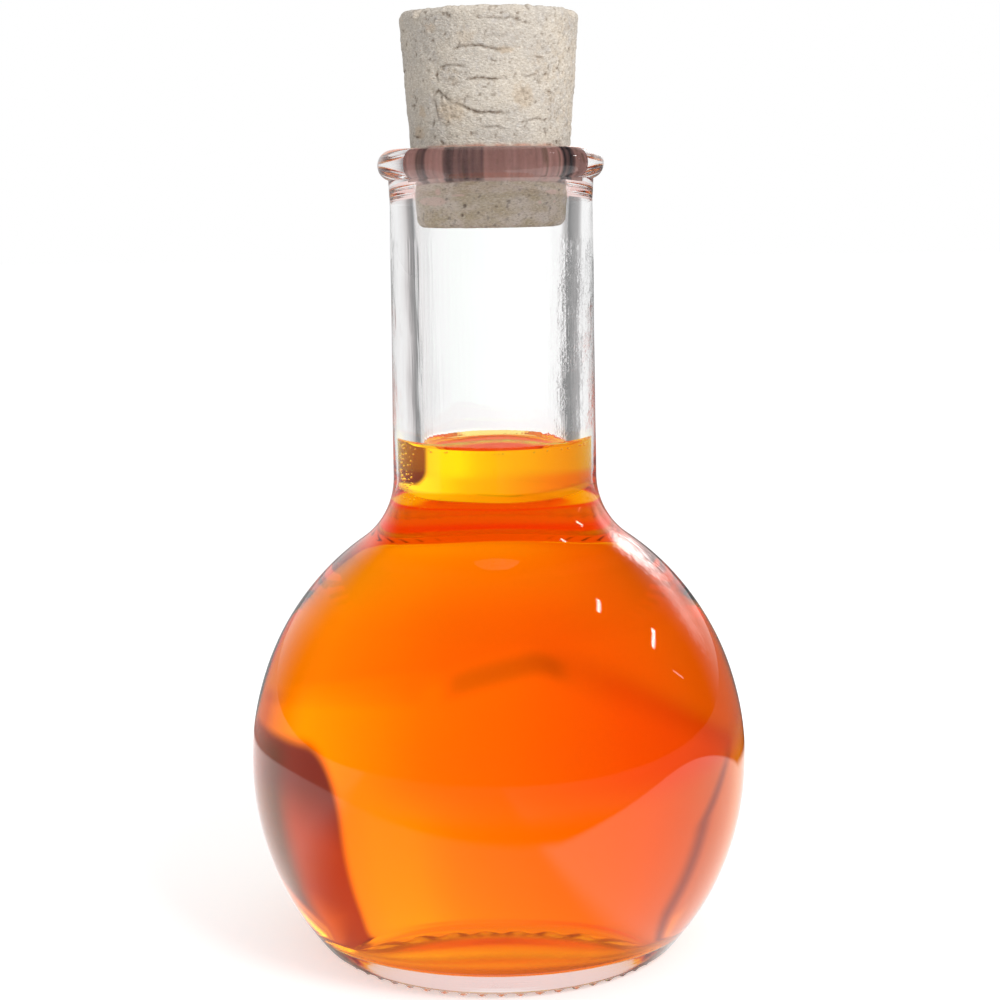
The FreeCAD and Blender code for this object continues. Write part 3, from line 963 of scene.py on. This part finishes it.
def natural_cork():
    """Pale dry cork with painted shade in its slits, pits and holes. Where it sits in the glass it
    is wet, stained rosy in patches and lightened with painted light; under the lip it bears painted
    reflection and shade of the lip's glass.
    """
    material, tree, surface = new_material("natural cork")
    cloud = noise(tree, 260.0, 3.0).ease(0.35, 0.65)
    grain = noise(tree, 3000.0, 2.0, (1.0, 1.0, 1.9)).ease(0.47, 0.68)
    pale = noise(tree, 2600.0, 2.0, (1.0, 1.0, 2.1)).ease(0.49, 0.68)
    dry = coated(tree, (0.66, 0.59, 0.50), [
        (cloud, (0.58, 0.53, 0.47)),
        (grain * 0.4, (0.36, 0.28, 0.21)),
        (pale * 0.5, (0.87, 0.80, 0.71)),
        (noise(tree, 1200.0, 3.0).ease(0.55, 0.75) * 0.22, (0.56, 0.55, 0.58)),
        (stored(tree, "ochre") * 0.6, (0.58, 0.43, 0.28)),
    ])
    # Wet cork in the glass, given a lighter colour than the dry cork: painted light in place of the
    # lamp's light, which the glass keeps from it.
    damp_and_painted_light = coated(tree, (0.64, 0.55, 0.37), [
        (noise(tree, 420.0, 4.0, (1.0, 1.0, 1.8)).ease(0.3, 0.7), (0.84, 0.77, 0.68)),
        (grain * 0.45, (0.33, 0.25, 0.15)),
        (pale * 0.45, (0.96, 0.91, 0.82)),
        (stored(tree, "rosy") * 0.75, (0.90, 0.70, 0.62)),
    ])
    # Painted reflection and shade of the lip's glass: a streaked mauve-brown band, lighter towards
    # its edges.
    band = coated(tree, (0.66, 0.37, 0.33), [
        (noise(tree, 900.0, 2.0, (1.0, 1.0, 0.1)).ease(0.3, 0.7), (0.46, 0.25, 0.22)),
        (stored(tree, "worn_and_painted_light") * 0.6, (0.95, 0.72, 0.66)),
    ])
    colour = coated(tree, dry, [
        (stored(tree, "damp_and_painted_light"), damp_and_painted_light),
        (stored(tree, "band"), band),
        # Painted shade: the lip's dark bars.
        (stored(tree, "bars"), (0.055, 0.045, 0.05)),
        # Painted reflection of the liquid along the top of the lip.
        (stored(tree, "painted_liquid_line") * 0.6, (0.45, 0.15, 0.07)),
        # Painted shade in the slits, pits and holes and round the chips.
        (stored(tree, "dark") * 0.9, (0.17, 0.115, 0.075)),
    ])
    tree.links.new(colour, surface.inputs["Base Color"])
    surface.inputs["Roughness"].default_value = 0.85
    surface.inputs["Specular IOR Level"].default_value = 0.25
    pits = noise(tree, 3400.0, 2.0, (1.0, 1.0, 1.5))
    tree.links.new(raised(tree, pits, 0.6, 0.3 * MM), surface.inputs["Normal"])
    return material


# The world's light is at most PEAK, and its colours are held as shares of that. Each stop
# is degrees round from straight away, then the level in red and in both green and blue.
PEAK = 4.0
ABOVE = [
    (-180, 1.3, 1.3), (-100, 1.1, 1.1), (-70, 1.0, 1.0), (-54, 0.95, 0.90), (-45, 0.80, 0.52),
    (-36, 0.72, 0.40), (-26, 0.88, 0.44), (-20, 1.0, 0.53), (-14, 1.08, 0.69), (-7, 1.12, 0.90),
    (0, 1.18, 1.14), (4, 1.35, 1.30), (9, 1.75, 1.70), (14, 1.6, 1.6), (19, 1.5, 1.3),
    (30, 1.4, 1.15), (70, 1.2, 1.2), (180, 1.3, 1.3),
]
MIDDLE = [
    (-180, 1.3, 1.3), (-90, 1.0, 0.9), (-56, 0.85, 0.60), (-45, 0.70, 0.19), (-34, 0.82, 0.23),
    (-22, 0.98, 0.33), (-15, 1.06, 0.44), (-9, 1.1, 0.62), (-5, 1.12, 0.77), (-1, 1.16, 0.93),
    (3, 1.22, 1.03), (8, 1.4, 1.16), (13, 1.6, 1.42), (20, 1.8, 1.6), (29, 1.9, 1.7),
    (37, 1.4, 1.2), (52, 0.8, 0.45), (90, 1.0, 1.0), (180, 1.3, 1.3),
]
BELOW = [
    (-180, 1.1, 1.5), (-100, 1.0, 1.2), (-60, 0.70, 0.32), (-43, 0.76, 0.33), (-32, 0.84, 0.42),
    (-21, 0.98, 0.52), (-8, 1.06, 0.60), (-1, 1.1, 0.72), (6, 1.12, 0.80), (14, 1.16, 0.95),
    (27, 1.2, 1.05), (40, 1.0, 0.86), (52, 0.9, 0.75), (100, 1.0, 1.2), (180, 1.1, 1.5),
]
THROUGH_AIR = [
    (-180, 1.0, 1.0), (-66, 0.9, 0.9), (-57, 0.22, 0.22), (-47, 0.36, 0.34), (-40, 0.66, 0.63),
    (-30, 0.84, 0.82), (-17, 0.95, 0.95), (-7, 1.0, 1.0), (5, 1.08, 1.08), (25, 1.04, 1.04),
    (31, 0.62, 0.61), (37, 0.40, 0.39), (58, 0.24, 0.24), (66, 0.24, 0.24), (76, 0.8, 0.78),
    (180, 1.0, 1.0),
]


def lit(*levels):
    """Colour of the world at these levels of red, green and blue."""
    return tuple(level / PEAK for level in levels)


def round_the_room(tree, azimuth, stops):
    """Colour that changes with the direction round, in straight lines from stop to stop."""
    node = tree.nodes.new("ShaderNodeValToRGB")
    (azimuth * (1 / 360) + 0.5).feed(node.inputs["Fac"])
    ramp = node.color_ramp
    ramp.interpolation = "LINEAR"
    for stop in stops[1:-1]:
        ramp.elements.new(stop[0] / 360 + 0.5)
    for element, (degrees, red, other) in zip(ramp.elements, stops):
        element.position = degrees / 360 + 0.5
        element.color = (*lit(red, other, other), 1.0)
    return node.outputs["Color"]


def seen_through(tree, azimuth, rise, across):
    """What shows through the liquid: a bright table and wall, brightest right of the middle.

    Every angle is in degrees. The wall is lit from the right and goes warm and dim towards
    the left. The table's far edge slopes down a little to the left. Bright sheets lie on the
    table, under the bottle and in front of it; across says how far to the side, by height. A
    dark upright panel stands on the right and a soft lamp shines over it.
    """
    high = round_the_room(tree, azimuth, ABOVE)
    middle = round_the_room(tree, azimuth, MIDDLE)
    low = round_the_room(tree, azimuth, BELOW)
    far_edge = azimuth.slope(-47.0, -5.0, -14.0, -24.5) + azimuth.slope(-4.0, 6.0, 0.0, 2.4)
    over = rise - far_edge
    line = over.window(-1.0, 1.1, 0.8)
    faint = line * azimuth.window(8.0, 60.0, 2.0) * 0.16
    strong = line * azimuth.window(-7.5, 5.5, 1.5) * 0.25
    wide = over.window(-2.0, 1.5, 1.8) * azimuth.window(-60.0, -5.0, 3.0) * 0.13
    under_sheets = across.window(0.31, 0.49, 0.03) + across.window(-0.5, -0.21, 0.03)
    under = blend(tree, under_sheets, lit(1.1, 1.15, 1.0), lit(1.15, 2.9, 1.6))
    behind = azimuth.by("ABSOLUTE")
    near_sheets = behind.window(154.5, 166.0, 1.5) * rise.ease(10.0, 5.0)
    near_sheets = near_sheets + azimuth.window(115.0, 148.0, 3.0) * rise.window(15.0, 34.0, 2.0)
    near_side = blend(tree, near_sheets, lit(1.1, 1.8, 1.3), lit(1.15, 3.2, 1.8))
    post = azimuth - rise.slope(-12.0, -5.0, -43.5, -32.5) - rise.slope(-5.0, 11.0, 0.0, 5.0)
    post = post.window(-2.4, 2.0, 2.6) * rise.window(-12.0, 15.0, 2.5)
    panel = rounded_card(azimuth, rise, (45.5, -0.6), (26.3, 16.1), 9.0)
    panel_edge = coated(tree, lit(0.19, 0.045, 0.03), [
        (rise.ease(-12.0, -4.0), lit(0.54, 0.16, 0.13)),
        (rise.ease(4.0, 13.0), lit(0.9, 0.4, 0.3)),
    ])
    lamp = rounded_card(azimuth, rise, (42.0, 27.0), (14.0, 6.5), 6.0)
    return coated(tree, middle, [
        (rise.ease(-14.0, -9.5), high),
        (over.ease(0.5, -2.5), low),
        (rise.ease(-28.0, -38.0) * azimuth.ease(-20.0, -5.0) * 0.18, lit(1.1, 1.6, 1.2)),
        (faint + strong + wide, lit(0.0, 0.0, 0.0)),
        (rise.ease(-50.0, -56.0), under),
        (behind.ease(104.0, 116.0) * rise.window(-44.0, 55.0, 3.0), near_side),
        (rise.ease(10.5, 14.0) * azimuth.window(-35.0, 98.0, 4.0), lit(1.12, 0.86, 0.80)),
        (post * 0.78, lit(0.16, 0.02, 0.10)),
        (panel.ease(0.9, -1.4), panel_edge),
        (panel.ease(0.5, -3.0) * azimuth.ease(31.0, 42.0), lit(0.04, 0.05, 0.09)),
        (lamp.ease(2.0, -2.0), lit(6.0, 6.0, 6.0)),
    ])


def mirrored(tree, azimuth, rise):
    """What shows in the glass as a reflection: a dark room, pale walls behind and a few lamps.

    Each lamp is a blurred bar from one direction to another: the distance from the bar is
    that from the nearest point of its middle line, found by clamping the share along it.
    """
    walls = azimuth.by("ABSOLUTE").ease(62.0, 24.0) * rise.window(-28.0, 26.0, 9.0)
    level = walls * rise.slope(-8.0, 2.0, 0.62, 0.85) + 0.004
    frayed = (noise(tree, 45.0, 3.0, kind="Generated") - 0.5) * 11.0
    bars = [
        # first end, last end, half width, blur, level and how far its edge is frayed
        ((11.0, 13.0), (27.0, 22.0), 6.0, 5.0, 4.5, 1.6),
        ((30.0, 20.0), (42.0, 13.0), 5.0, 6.0, 1.1, 1.0),
        ((81.0, 51.5), (90.0, 50.5), 0.6, 0.7, 20.0, 0.1),
        ((72.0, 29.3), (80.0, 27.9), 0.6, 0.7, 20.0, 0.1),
        ((73.5, 13.3), (77.5, 17.6), 0.15, 0.25, 8.0, 0.0),
    ]
    for first, last, half, blur, strength, fray in bars:
        run = (last[0] - first[0], last[1] - first[1])
        square = run[0] ** 2 + run[1] ** 2
        off_across = azimuth - first[0]
        off_up = rise - first[1]
        along = off_across * (run[0] / square) + off_up * (run[1] / square)
        share = along.slope(0.0, 1.0, 0.0, 1.0)
        away = length_of(off_across - share * run[0], off_up - share * run[1]) + frayed * fray
        level = level + away.ease(half + blur, half - blur) * strength
    return level


def room_light():
    """World: white to the camera, a room through the glass and in it, plain light for the rest.

    Light that met no liquid has gone through fewer than six surfaces when it leaves. Matt
    surfaces get even light from all round, so no rays are aimed at single parts of it.
    """
    world = bpy.data.worlds.new("studio")
    bpy.context.scene.world = world
    world.cycles.sampling_method = "NONE"
    world.use_nodes = True
    tree = world.node_tree
    x, y, z = coordinates(tree, "Generated")
    azimuth = x.by("ARCTAN2", y) * (180 / math.pi)
    rise = z.by("ARCSINE") * (180 / math.pi)
    level = mirrored(tree, azimuth, rise) * (1 / PEAK)
    grey = tree.nodes.new("ShaderNodeCombineColor")
    for channel in ("Red", "Green", "Blue"):
        level.feed(grey.inputs[channel])
    clear = round_the_room(tree, azimuth, THROUGH_AIR)
    clear = blend(tree, rise.ease(11.0, 14.0), clear, lit(0.92, 0.71, 0.68))
    orange = seen_through(tree, azimuth, rise, x / (z * -1.0))
    met_liquid = ray_kind(tree, "Transmission Depth").ease(5.4, 5.6)
    colour = coated(tree, lit(0.72, 0.72, 0.72), [
        (ray_kind(tree, "Is Glossy Ray"), grey.outputs["Color"]),
        (ray_kind(tree, "Is Transmission Ray"), blend(tree, met_liquid, clear, orange)),
        (ray_kind(tree, "Is Camera Ray"), lit(1.0, 1.0, 1.0)),
    ])
    background = tree.nodes["Background"]
    tree.links.new(colour, background.inputs["Color"])
    background.inputs["Strength"].default_value = PEAK


def floor_sheen(tree):
    """Level of the floor as the glass mirrors it: lit oval sheets with the bottle's shadow.

    Distances in millimetres from the bottle's middle; the light comes from behind on the
    right, so the shadow lies in a wedge towards the front and the left.
    """
    x, y = (place * (1 / MM) for place in coordinates(tree)[:2])
    across = (x + 37.0) * (1 / 143.0)
    deep = (y - 10.0) * (1 / 90.0)
    sheet = (across * across + deep * deep).ease(1.15, 0.86)
    right_across = (x - 110.0) * (1 / 180.0)
    right_deep = (y + 8.0) * (1 / 70.0)
    right_sheet = (right_across * right_across + right_deep * right_deep).ease(1.12, 0.9)
    far_off = length_of(x, y).ease(90.0, 150.0) * x.slope(-60.0, 60.0, 0.34, 0.14)
    sheet = sheet.by("MAXIMUM", right_sheet).by("MAXIMUM", far_off)
    right_side = (x - 19.5).ease(-4.0, 4.0)
    left_side = (y - x * 0.55 - 12.0).ease(-16.0, 16.0)
    return sheet * (right_side.by("MAXIMUM", left_side) * 0.95 + 0.27)


def make_floor():
    """Pale floor that takes the shadow and shows white to the camera.

    The glass mirrors a lit sheet in it. Through the glass the bottle's own light shows on it,
    brown where the ribs stand in front and pale orange farther in; past the bottle it is clear.
    """
    mesh = bpy.data.meshes.new("floor")
    half = 3.0
    corners = [(-half, -half, 0), (half, -half, 0), (half, half, 0), (-half, half, 0)]
    mesh.from_pydata(corners, [], [(0, 1, 2, 3)])
    floor = bpy.data.objects.new("floor", mesh)
    bpy.context.scene.collection.objects.link(floor)
    material, tree, surface = new_material("pale floor")
    surface.inputs["Base Color"].default_value = (0.75, 0.75, 0.75, 1.0)
    surface.inputs["Roughness"].default_value = 1.0
    surface.inputs["Specular IOR Level"].default_value = 0.0
    surface.inputs["Emission Color"].default_value = (1.0, 1.0, 1.0, 1.0)
    (ray_kind(tree, "Is Camera Ray") * 0.5).feed(surface.inputs["Emission Strength"])
    sheen = tree.nodes.new("ShaderNodeEmission")
    floor_sheen(tree).feed(sheen.inputs["Strength"])
    x, y, _ = coordinates(tree)
    out = length_of(x, y)
    at_ribs = out.ease(15 * MM, 17 * MM) * y.ease(0.0, -6 * MM)
    glow = tree.nodes.new("ShaderNodeEmission")
    tree.links.new(blend(tree, at_ribs, (1.0, 0.82, 0.66), (0.50, 0.17, 0.07)), glow.inputs["Color"])
    clear = tree.nodes.new("ShaderNodeBsdfTransparent")
    under = either(tree, out.ease(30 * MM, 24 * MM), clear.outputs["BSDF"], glow.outputs["Emission"])
    mirrored_or_plain = either(
        tree, ray_kind(tree, "Is Glossy Ray"), surface.outputs["BSDF"], sheen.outputs["Emission"])
    shown = either(tree, ray_kind(tree, "Is Transmission Ray"), mirrored_or_plain, under)
    tree.links.new(shown, tree.nodes["Material Output"].inputs["Surface"])
    mesh.materials.append(material)


def aimed(place, target):
    """Turn that points a lamp's or camera's -Z from a place at a target."""
    away = mathutils.Vector(target) - mathutils.Vector(place)
    return away.to_track_quat("-Z", "Y").to_euler()


def make_lamp(name, place, size, power):
    """Soft square lamp aimed at the cork, which the glass doesn't mirror."""
    light = bpy.data.lights.new(name, "AREA")
    light.size = size
    light.energy = power
    lamp = bpy.data.objects.new(name, light)
    bpy.context.scene.collection.objects.link(lamp)
    lamp.location = place
    lamp.rotation_euler = aimed(place, (0.0, 0.0, CORK_TOP_Z - 12 * MM))
    lamp.visible_glossy = False
    lamp.visible_transmission = False
    lamp.visible_camera = False


def make_camera():
    """Camera at the photograph's place: level heading, pitched down, rolled a little."""
    camera = bpy.data.objects.new("camera", bpy.data.cameras.new("camera"))
    bpy.context.scene.collection.objects.link(camera)
    camera.data.sensor_width = SENSOR_WIDTH
    camera.data.lens = FOCAL_PIXELS / PHOTO_WIDTH * SENSOR_WIDTH
    camera.data.clip_start = 0.01
    camera.location = CAMERA_PLACE
    camera.rotation_mode = "XYZ"
    look = mathutils.Matrix.Rotation(math.pi / 2 - CAMERA_PITCH, 3, "X")
    roll = mathutils.Matrix.Rotation(CAMERA_ROLL, 3, "Z")
    camera.rotation_euler = (look @ roll).to_euler()
    bpy.context.scene.camera = camera


def dress(piece, body, node):
    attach(piece, body)
    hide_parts(node)


dress(make_glass(), "bottle", "glass_bottle")
dress(make_liquid(), "bottle", "liquid_fill")
dress(make_cork(), "cork", "cork_stopper")
room_light()
make_floor()
make_lamp("key", (0.24, -0.30, 0.34), 0.16, 1.25)
make_camera()
scene = bpy.context.scene
scene.view_settings.view_transform = "Standard"
scene.cycles.max_bounces = 32
scene.cycles.transmission_bounces = 32
scene.cycles.glossy_bounces = 16
